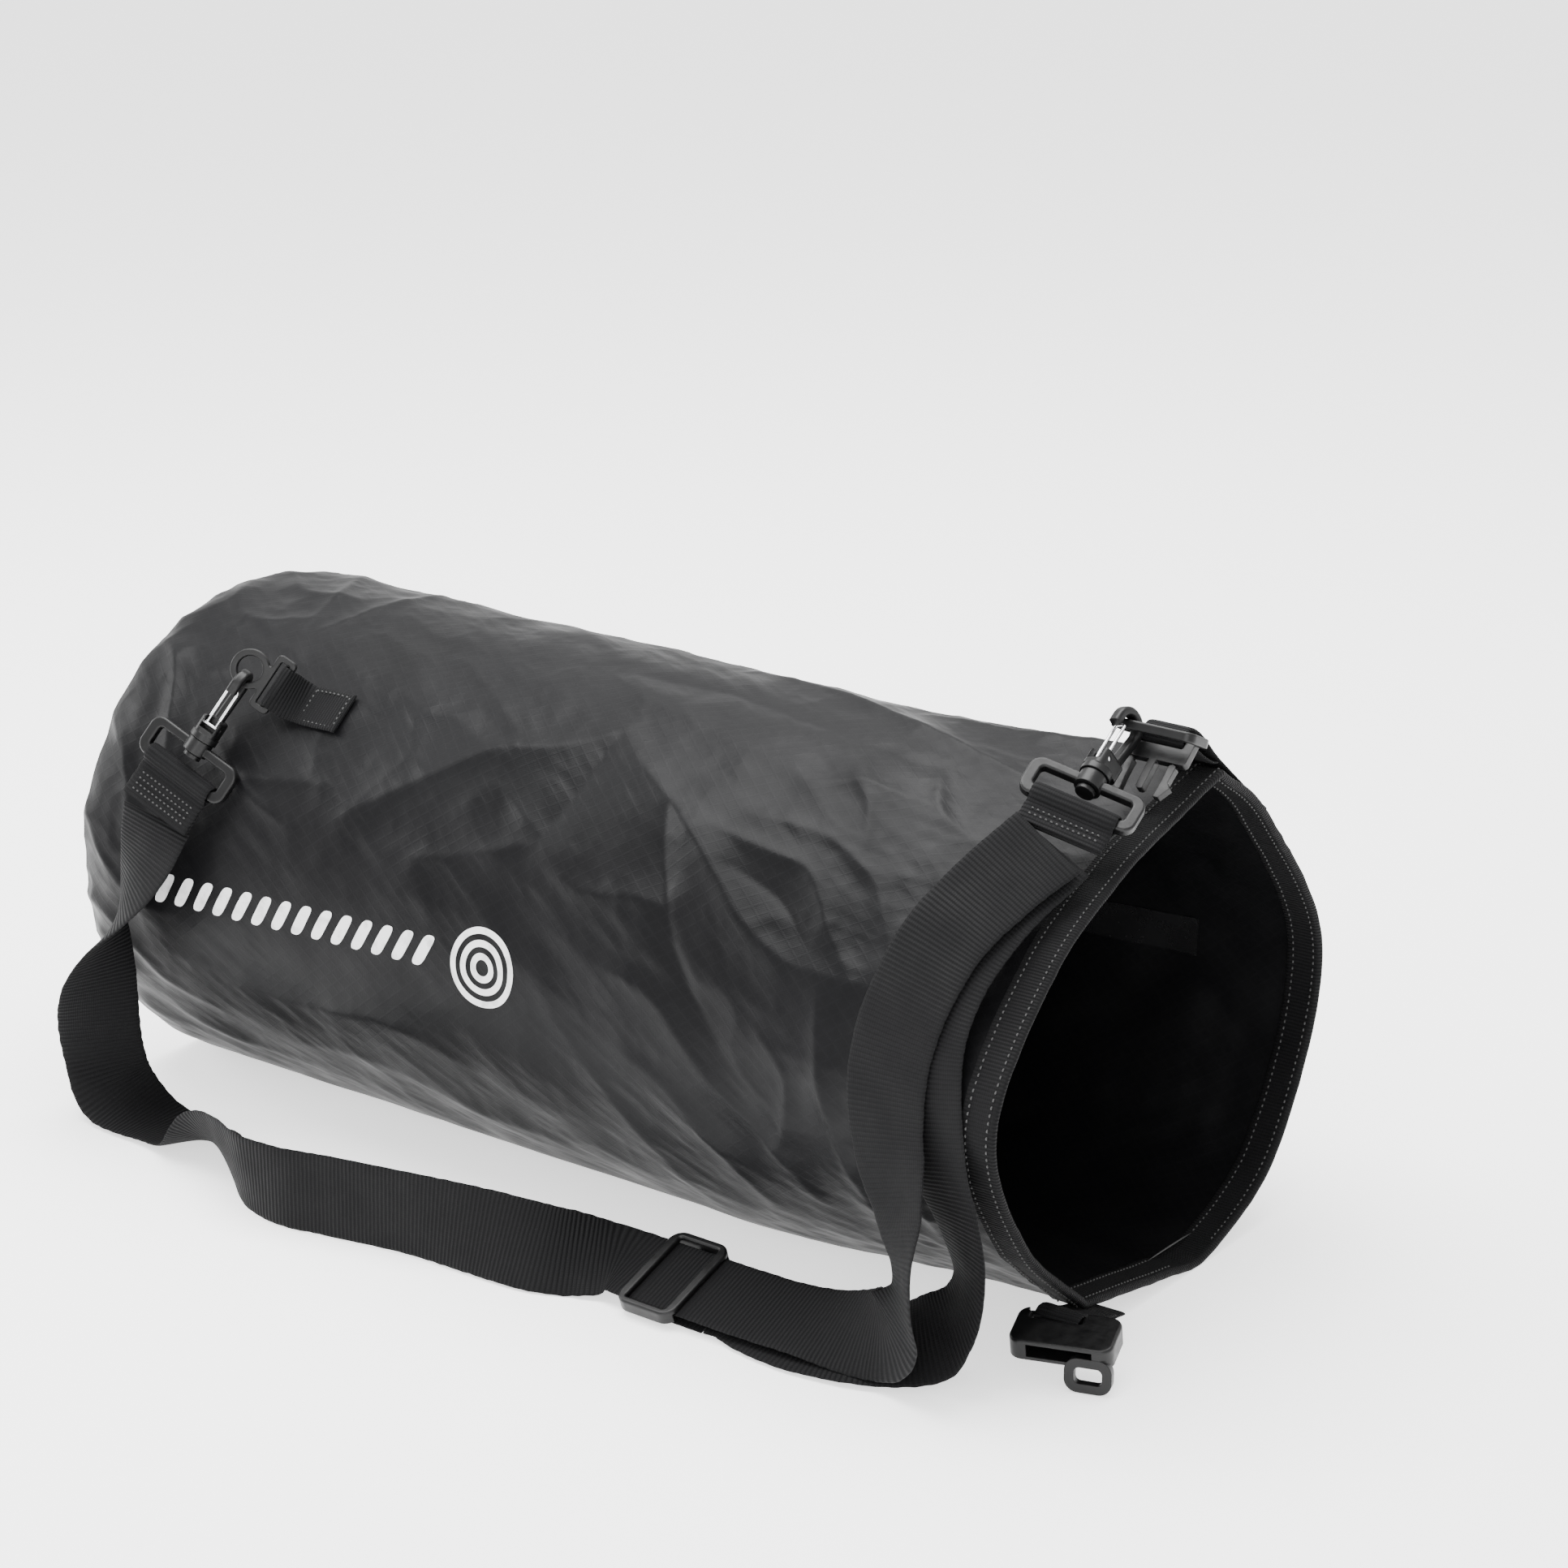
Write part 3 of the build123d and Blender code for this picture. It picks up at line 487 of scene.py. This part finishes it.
def hem_band():
    """Webbing folded over the rim of the mouth; its two rows of stitching inside and out are laid separately.
    """
    columns = 720
    phis = np.linspace(-180, 180, columns, endpoint=False)
    profile = []
    for t in np.linspace(0, 1, 12):
        profile.append((HEM_X + (MOUTH_X - HEM_X - 1.3) * t, 0.9))
    for a in np.linspace(60, -60, 5):
        turn = math.radians(a)
        profile.append((MOUTH_X - 1.3 + 1.3 * math.cos(turn), -0.8 + 1.7 * math.sin(turn)))
    for t in np.linspace(1, 0, 12):
        profile.append((HEM_X + (MOUTH_X - HEM_X - 1.3) * t, -3.0))
    profile.append((HEM_X - 0.2, -1.0))
    verts, uvs = [], []
    for number, (at, lift) in enumerate(profile):
        ring = surface(np.full(columns, at), phis)
        away = ring - (at, 0, AXIS_Z)
        wave = 0.25 * lattice_noise(phis / 3.0 + 90, np.full(columns, at / 9 + 40), 15)
        ring = ring + away / np.linalg.norm(away, axis=-1, keepdims=True) * (lift + wave)[:, None]
        ring[:, 2] = np.maximum(ring[:, 2], 0.2)
        verts.append(ring)
        uvs.append(np.stack([np.full(columns, number * 1.6), np.radians(phis) * BODY_R], axis=-1))
    verts.append(verts[0])
    uvs.append(uvs[0] + (len(profile) * 1.6, 0))
    verts, uvs = np.array(verts), np.array(uvs)
    piece(
        "mouth_hem",
        verts.reshape(-1, 3) * MM,
        grid_faces(len(verts), columns, closed=True),
        HEM_CLOTH,
        ("mouth_hem_front", "mouth_hem_back"),
        uvs.reshape(-1, 2) * MM,
    )


hem_band()


# ---- stitches ------------------------------------------------------------------------------
# One stitch as (place along it, share of the thread's radius, lift off the cloth).
STITCH_SHAPE = ((0, 0.15, -0.3), (0.18, 0.8, 0.25), (0.5, 1, 0.45), (0.82, 0.8, 0.25), (1, 0.15, -0.3))


def stitches(name, runs, material, thick=0.45, body="bag"):
    """Short rounded threads: runs are (points, outward normals) in mm, one stitch every second step."""
    verts, faces = [], []
    for points, normals in runs:
        for i in range(0, len(points) - 1, 2):
            a, b, n = points[i], points[i + 1], normals[i]
            way = b - a
            length = np.linalg.norm(way)
            if length < 0.3:
                continue
            way = way / length
            side = np.cross(way, n)
            start = len(verts)
            for t, r, lift in STITCH_SHAPE:
                middle = a + way * length * t + n * lift * thick
                for k in range(6):
                    turn = k * math.pi / 3
                    verts.append(middle + (side * math.cos(turn) + n * math.sin(turn)) * r * thick)
            for row in range(4):
                low = start + row * 6
                for k in range(6):
                    m = (k + 1) % 6
                    faces.append((low + k, low + m, low + 6 + m, low + 6 + k))
    return piece(name, np.array(verts) * MM, faces, material, body=body)


def rim_row(at, lift, sign):
    phis = np.linspace(-180, 180, 520)
    ring = surface(np.full(len(phis), at), phis)
    away = ring - (at, 0, AXIS_Z)
    away /= np.linalg.norm(away, axis=-1, keepdims=True)
    keep = ring[:, 2] > 4.0
    return (ring + away * lift)[keep], (away * sign)[keep]


stitches(
    "hem_stitching",
    [rim_row(264.0, 0.95, 1), rim_row(274.6, 0.95, 1), rim_row(264.0, -3.05, -1), rim_row(274.6, -3.05, -1)],
    STITCH,
)


# ---- webbing ribbons -----------------------------------------------------------------------
def ribbon(name, stations, width, thick, material, slot, nodes=(), steps=10, body="bag", cup=0.0):
    """A woven strip through stations of (middle, width way), in mm. Returns it and its centreline."""
    middles = catmull([s[0] for s in stations], steps)
    ways = catmull([s[1] for s in stations], steps)
    run = np.gradient(middles, axis=0)
    run /= np.linalg.norm(run, axis=1, keepdims=True)
    ways = ways - run * np.sum(ways * run, axis=1, keepdims=True)
    ways /= np.linalg.norm(ways, axis=1, keepdims=True)
    out = np.cross(run, ways)
    along = np.concatenate([[0], np.cumsum(np.linalg.norm(np.diff(middles, axis=0), axis=1))])
    us = np.sin(np.linspace(-1, 1, 17) * math.pi / 2)
    verts, uvs = [], []
    for m, w, o, v in zip(middles, ways, out, along):
        edge = 1 + 0.006 * math.sin(v * 0.9) + 0.005 * math.sin(v * 2.3)
        for side in (1, -1):
            for u in us[:: side]:
                high = side * thick / 2 * max(0.0, 1 - abs(u) ** 14) ** 0.5
                rise = cup * (u * u - 0.4)
                verts.append(m + w * (u * width / 2 * edge) + o * (high + rise))
                uvs.append((u * width / 2 * MM, v * MM))
    columns = 2 * len(us)
    faces = grid_faces(len(middles), columns, closed=True)
    last = (len(middles) - 1) * columns
    faces.append(tuple(range(columns))[::-1])
    faces.append(tuple(last + k for k in range(columns)))
    obj = piece(name, np.array(verts) * MM, faces, material, nodes, uvs, body=body)
    return obj, middles * MM


STRAP = (
    ((-210.1, -132.3, 158.8), (0.89, 0.09, -0.44)),
    ((-216.0, -138.0, 136.0), (0.90, -0.25, -0.35)),
    ((-225.0, -143.5, 114.0), (0.68, -0.68, -0.25)),
    ((-234.0, -147.5, 92.0), (0.15, -0.98, -0.10)),
    ((-241.0, -147.5, 70.0), (-0.35, -0.93, -0.05)),
    ((-246.0, -144.5, 48.0), (-0.66, -0.74, -0.10)),
    ((-246.0, -142.0, 29.0), (-0.74, -0.64, -0.20)),
    ((-238.0, -143.5, 14.5), (-0.55, -0.78, -0.26)),
    ((-222.0, -143.0, 5.5), (-0.25, -0.96, -0.10)),
    ((-202.0, -143.0, 2.4), (0.0, -1.0, 0.02)),
    ((-184.0, -146.0, 3.6), (0.1, -0.99, 0.12)),
    ((-167.0, -153.0, 9.6), (0.2, -0.90, 0.38)),
    ((-149.0, -164.0, 17.2), (0.15, -0.62, 0.77)),
    ((-129.0, -176.0, 20.6), (0.05, -0.30, 0.95)),
    ((-108.0, -186.0, 20.8), (0.0, -0.12, 0.99)),
    ((-84.0, -187.0, 20.3), (0.0, 0.0, 1.0)),
    ((-60.0, -181.5, 20.3), (0.0, 0.05, 1.0)),
    ((-17.0, -173.0, 20.6), (0.0, 0.08, 1.0)),
    ((20.0, -167.0, 20.0), (0.0, 0.30, 0.95)),
    ((50.0, -159.0, 17.4), (0.0, 0.60, 0.80)),
    ((68.0, -147.0, 14.2), (0.0, 0.85, 0.53)),
    ((82.0, -139.0, 13.0), (0.0, 0.945, 0.326)),
    ((100.0, -139.0, 13.0), (0.0, 0.945, 0.326)),
    ((120.0, -139.0, 13.0), (0.0, 0.945, 0.326)),
    ((146.0, -139.0, 13.0), (0.0, 0.945, 0.326)),
    ((170.0, -138.5, 13.2), (0.0, 0.94, 0.34)),
    ((192.0, -138.5, 15.0), (0.0, 0.90, 0.43)),
    ((210.0, -140.0, 18.0), (-0.02, 0.75, 0.66)),
    ((225.0, -144.0, 22.5), (-0.10, 0.45, 0.88)),
    ((236.0, -149.5, 27.0), (-0.35, 0.20, 0.90)),
    ((242.0, -152.5, 35.0), (-0.65, 0.30, 0.60)),
    ((244.5, -152.0, 47.0), (-0.70, 0.68, 0.10)),
    ((242.0, -148.5, 62.0), (-0.72, 0.66, 0.10)),
    ((236.5, -143.0, 80.0), (-0.88, 0.42, 0.15)),
    ((229.5, -139.5, 101.0), (-0.95, 0.15, 0.20)),
    ((225.0, -137.0, 124.0), (-0.97, 0.05, 0.20)),
    ((224.0, -132.0, 147.0), (-0.98, 0.0, 0.10)),
    ((227.0, -123.0, 170.0), (-0.98, -0.05, 0.05)),
    ((233.0, -106.0, 194.0), (-0.97, -0.10, 0.10)),
    ((243.0, -82.0, 213.0), (-0.95, -0.20, 0.15)),
    ((252.8, -59.8, 226.7), (-0.93, -0.28, 0.22)),
)
RETURN = (
    ((141.5, -137.4, 8.3), (0.0, 0.945, 0.326)),
    ((151.0, -137.4, 8.3), (0.0, 0.945, 0.326)),
    ((166.0, -141.0, 7.0), (0.0, 0.96, 0.28)),
    ((188.0, -142.5, 6.4), (0.0, 0.97, 0.25)),
    ((212.0, -139.5, 9.0), (-0.02, 0.93, 0.37)),
    ((232.0, -134.0, 14.6), (-0.10, 0.75, 0.65)),
    ((248.0, -128.0, 22.0), (-0.30, 0.50, 0.80)),
    ((257.0, -126.0, 33.0), (-0.60, 0.58, 0.45)),
    ((261.0, -126.0, 47.0), (-0.75, 0.58, 0.22)),
    ((259.5, -127.5, 65.0), (-0.86, 0.42, 0.18)),
    ((254.5, -131.0, 86.0), (-0.93, 0.25, 0.22)),
    ((247.0, -134.0, 108.0), (-0.95, 0.10, 0.25)),
    ((241.0, -133.0, 132.0), (-0.97, 0.03, 0.20)),
    ((237.0, -126.0, 156.0), (-0.98, 0.0, 0.10)),
    ((238.5, -112.5, 179.0), (-0.98, -0.05, 0.05)),
    ((243.0, -92.0, 198.5), (-0.97, -0.10, 0.10)),
    ((249.0, -70.5, 213.8), (-0.95, -0.20, 0.15)),
    ((254.4, -57.2, 224.4), (-0.93, -0.28, 0.22)),
)


strap, path = ribbon("shoulder_webbing", STRAP, WEB, WEB_T, STRAP_CLOTH, "strap_webbing", ("shoulder_strap",))
back, path = ribbon("return_webbing", RETURN, WEB, WEB_T, STRAP_CLOTH, "strap_webbing", ("strap_return",))


# ---- webbing round the hardware ------------------------------------------------------------
def hook_frame_axes(bar, bowl, roll):
    along = (Vector(bowl) - Vector(bar)).normalized()
    across = (Vector((1, 0, 0)) - along * along.x).normalized()
    across.rotate(Quaternion(along, math.radians(roll)))
    return np.array(across), np.array(along), np.array(across.cross(along))


def bar_fold(name, bar, axes, tail, gap, inner, width, thick, material, slot, nodes):
    """Webbing round a bar: up one side, round it and down the other, the two layers meeting."""
    across, along, out = axes
    bar = np.array(bar, float)
    radius = inner + thick / 2
    stations = []
    for v in np.linspace(-tail, -radius * 1.3, 5):
        stations.append((bar + along * v + out * (gap / 2), across))
    for a in np.linspace(-35, 215, 8):
        c, s = math.cos(math.radians(a)), math.sin(math.radians(a))
        stations.append((bar + along * (s * radius) + out * (c * radius), across))
    for v in np.linspace(-radius * 1.3, -tail, 5):
        stations.append((bar + along * v - out * (gap / 2), across))
    return ribbon(name, stations, width, thick, material, slot, nodes, steps=6)


LOWER_BAR = (-202, -123, 180.5)
UPPER_BAR = (253.5, -41, 236.5)
LOWER = hook_frame_axes(LOWER_BAR, (-184.5, -96, 224), 18.0)
UPPER = hook_frame_axes(UPPER_BAR, (250.5, 3.5, 262.5), 20.0)
FOLD_INNER = 3.4
FOLD_LOOK = (FOLD_INNER, WEB, WEB_T, STRAP_CLOTH, "strap_webbing")
bar_fold("lower_fold", LOWER_BAR, LOWER, 23, 1.9, *FOLD_LOOK, ("lower_strap_fold",))
bar_fold("upper_fold", UPPER_BAR, UPPER, 16, 2.0, *FOLD_LOOK, ("upper_strap_fold",))


def tacks(name, bar, axes, rows, lift):
    """Rows of stitching across both faces of a fold."""
    across, along, out = axes
    bar = np.array(bar, float)
    runs = []
    for v in rows:
        for sign in (1, -1):
            us = np.linspace(-16, 16, 26)
            points = np.array([bar + along * v + across * u + out * sign * lift for u in us])
            runs.append((points, np.array([out * sign] * len(us))))
    return stitches(name, runs, STITCH)


tacks("lower_tacks", LOWER_BAR, LOWER, (-10, -13, -16, -19), 1.8)
tacks("upper_tacks", UPPER_BAR, UPPER, (-9, -12), 1.9)


def cross_tab(name, x, run, width, nodes, skew=0.0):
    """Buckle webbing that runs in a plane across the bag: run is (y, z) points."""
    stations = [((x + skew * y, y, z), (1.0, 0.0, 0.0)) for y, z in run]
    return ribbon(name, stations, width, TAB_T, HEM_CLOTH, "hem_webbing", nodes, steps=6)


cross_tab(
    "male_webbing",
    263.0,
    (
        (85.6, 205.5), (74, 214.6), (63.6, 223.2), (52, 232.8), (40, 243.0),
        (28, 255.0), (19, 260.2), (12.6, 257.0), (14.5, 251.8), (21, 251.4),
        (30, 245.0), (37, 240.6), (42, 238.9),
    ),
    TAB_W,
    ("male_buckle_tab",),
)
cross_tab(
    "female_webbing",
    273.5,
    (
        (-44.0, 10.4), (-54.0, 12.6), (-64.0, 14.8), (-76.0, 17.5), (-83.0, 17.4),
        (-87.6, 20.6), (-85.0, 24.6), (-79.0, 24.2), (-70.0, 19.0), (-62.0, 15.8),
        (-52.0, 13.2),
    ),
    TAB_W,
    ("female_buckle_tab",),
    skew=-0.08,
)


def ring_tab():
    """Webbing through the base ring's slot, sewn flat to the bag with a stitched box."""
    bar = np.array((-168.9, -87.0, 219.97))
    axis = np.array((0.323, 0.499, 0.804))
    across = np.array((1.0, 0, 0)) - axis * axis[0]
    across /= np.linalg.norm(across)
    up = np.cross(across, axis) * -1.0
    up = up if up[2] > 0 else -up
    phi = math.degrees(math.atan2(87.0, 219.97 - AXIS_Z))
    stations = [(bar + across * (-2.6) + up * (-2.2), axis)] + [
        (bar + across * (3.3 * math.cos(math.radians(a))) + up * (3.3 * math.sin(math.radians(a))), axis)
        for a in (190, 150, 110, 70, 30)
    ]
    level = np.array((0.0, math.cos(math.radians(phi)), math.sin(math.radians(phi))))
    for x, rise in ((-160, 3.4), (-154, 1.9), (-146, 1.6), (-138, 1.6), (-132, 1.6)):
        spot = surface(np.array([x]), np.array([phi]))[0]
        away = np.array((0, spot[1], spot[2] - AXIS_Z))
        stations.append((spot + away / np.linalg.norm(away) * rise, level))
    ribbon("ring_webbing", stations, TAB_W, TAB_T, HEM_CLOTH, "hem_webbing", ("base_ring_tab",), steps=6)
    runs = []
    for u in (-8.5, 8.5):
        xs = np.linspace(-156, -134, 17)
        spots = surface(xs, np.full(17, phi + u / BODY_R * 57.3))
        away = spots - np.stack([xs, np.zeros(17), np.full(17, AXIS_Z)], axis=-1)
        away /= np.linalg.norm(away, axis=-1, keepdims=True)
        runs.append((spots + away * 2.5, away))
    for at in (-156, -134):
        us = np.linspace(-8.5, 8.5, 13)
        spots = surface(np.full(13, at), phi + us / BODY_R * 57.3)
        away = spots - np.array((at, 0, AXIS_Z))
        away /= np.linalg.norm(away, axis=-1, keepdims=True)
        runs.append((spots + away * 2.5, away))
    stitches("ring_stitching", runs, STITCH)


ring_tab()


# ---- slider fold and seam tape -------------------------------------------------------------
def slider_webbing():
    # (place along the bag, distance behind the slider's middle plane)
    run = (
        (140, 6.1), (130, 6.0), (121, 6.0), (116.4, 5.9), (113, 6.4),
        (109.4, 5.5), (108.4, 3.9), (109.6, 2.1), (113, 1.75), (116, 2.1),
    )
    flat, steep = 0.945, 0.326
    stations = [((at, -139 + steep * back, 13.0 - flat * back), (0, flat, steep)) for at, back in run]
    look = (WEB - 1.0, 1.2, STRAP_CLOTH, "strap_webbing", ("slider_fold",))
    ribbon("slider_webbing", stations, *look, steps=5, body="slider")


slider_webbing()


def seam_strip():
    xs = np.linspace(-247, 213, 90)
    phis = np.linspace(-94, -86, 7)
    gx, gp = np.meshgrid(xs, phis, indexing="ij")
    spots = surface(gx, gp)
    away = spots - np.stack([gx, np.zeros_like(gx), np.full_like(gx, AXIS_Z)], axis=-1)
    away /= np.linalg.norm(away, axis=-1, keepdims=True)
    verts = spots - away * 2.5
    uvs = np.stack([gx, gp * 2.2], axis=-1) * MM
    verts, uvs = verts.reshape(-1, 3) * MM, uvs.reshape(-1, 2)
    piece("inner_seam", verts, grid_faces(90, 7), TAPE, ("seam_tape",), uvs)


seam_strip()


# ---- print ---------------------------------------------------------------------------------
def decal(outlines):
    """Flat shapes laid on the bag: outlines are lists of (x, angle) rings with their centres."""
    verts, faces = [], []
    for inner, outer in outlines:
        start = len(verts)
        for ring in (inner, outer):
            spots = surface(ring[:, 0], ring[:, 1])
            away = spots - np.stack([ring[:, 0], np.zeros(len(ring)), np.full(len(ring), AXIS_Z)], axis=-1)
            away /= np.linalg.norm(away, axis=-1, keepdims=True)
            verts.extend(spots + away * 0.22)
        n = len(inner)
        for i in range(n):
            j = (i + 1) % n
            faces.append((start + i, start + j, start + n + j, start + n + i))
    piece("rope_print", np.array(verts) * MM, faces, INK)


def bar_shape(x, angle, length, width, lean):
    """Nested outlines of one slanted bar with round ends."""
    shapes = []
    previous = None
    for scale in (0.02, 0.3, 0.6, 1.0):
        ring = []
        for t in np.linspace(0, 2 * math.pi, 26, endpoint=False):
            c, s = math.cos(t), math.sin(t)
            u = width / 2 * math.copysign(abs(c) ** 0.7, c) * scale
            v = length / 2 * math.copysign(abs(s) ** 0.45, s) * scale
            ring.append((x + u - v * lean, angle + v / BODY_R * 57.3))
        ring = np.array(ring)
        if previous is not None:
            shapes.append((previous, ring))
        previous = ring
    return shapes


def coil_ring(x, angle, radius, width):
    turns = np.linspace(0, 2 * math.pi, 72, endpoint=False)
    rings = [
        np.stack([x + r * np.cos(turns), angle + r * np.sin(turns) / BODY_R * 57.3], axis=-1)
        for r in (radius - width / 2, radius, radius + width / 2)
    ]
    return [(rings[0], rings[1]), (rings[1], rings[2])]


outlines = []
for k in range(14):
    outlines += bar_shape(-215 + k * 13.0, 88.0 - k * 0.28, 16.0, 7.0, 0.55)
for radius in (5.5, 11.5, 17.5):
    outlines += coil_ring(-10, 84.5, radius, 3.2)
decal(outlines)


# ---- hardware taken from the CAD -----------------------------------------------------------
HARD = (
    "lower_hook_frame",
    "upper_hook_frame",
    "lower_hook_body",
    "upper_hook_body",
    "base_ring",
    "male_buckle",
    "male_prong_left",
    "male_prong_right",
    "female_buckle",
    "slider",
)
for node in HARD:
    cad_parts[node].data.materials.clear()
    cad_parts[node].data.materials.append(PLASTIC)
for node in ("lower_hook_gate", "upper_hook_gate"):
    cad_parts[node].data.materials.clear()
    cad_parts[node].data.materials.append(STEEL)


# ---- floor and light -----------------------------------------------------------------------
def area_light(name, place, aim, size, power, tint=(1, 1, 1)):
    data = bpy.data.lights.new(name, "AREA")
    data.shape = "RECTANGLE"
    data.size, data.size_y = size
    data.energy = power
    data.color = tint
    light = bpy.data.objects.new(name, data)
    light.location = place
    light.rotation_euler = (Vector(aim) - Vector(place)).to_track_quat("-Z", "Y").to_euler()
    bpy.context.collection.objects.link(light)


area_light("top_box", (-0.25, 0.1, 1.7), (0, 0, 0), (1.9, 1.4), 84)
area_light("front_fill", (0.9, -1.7, 0.9), (0, 0, 0.1), (1.4, 1.0), 20)
area_light("left_rim", (-1.6, -0.6, 0.8), (0, 0, 0.1), (0.8, 0.8), 16)

world = bpy.data.worlds.new("white_room")
bpy.context.scene.world = world
world.use_nodes = True
world.node_tree.nodes["Background"].inputs["Color"].default_value = (1, 1, 1, 1)
world.node_tree.nodes["Background"].inputs["Strength"].default_value = 1.5

bpy.ops.mesh.primitive_plane_add(size=40, location=(0, 0, -0.0002))
floor = bpy.context.active_object
floor.name = "floor"
paper = Mat("white_paper")
paper.put("Base Color", paper.mix(paper.noise(3.0), grey(0.9), grey(0.93)))
paper.put("Roughness", 0.9)
paper.put("Emission Color", grey(1.0))
paper.put("Emission Strength", 1.2)
floor.data.materials.append(paper.mat)
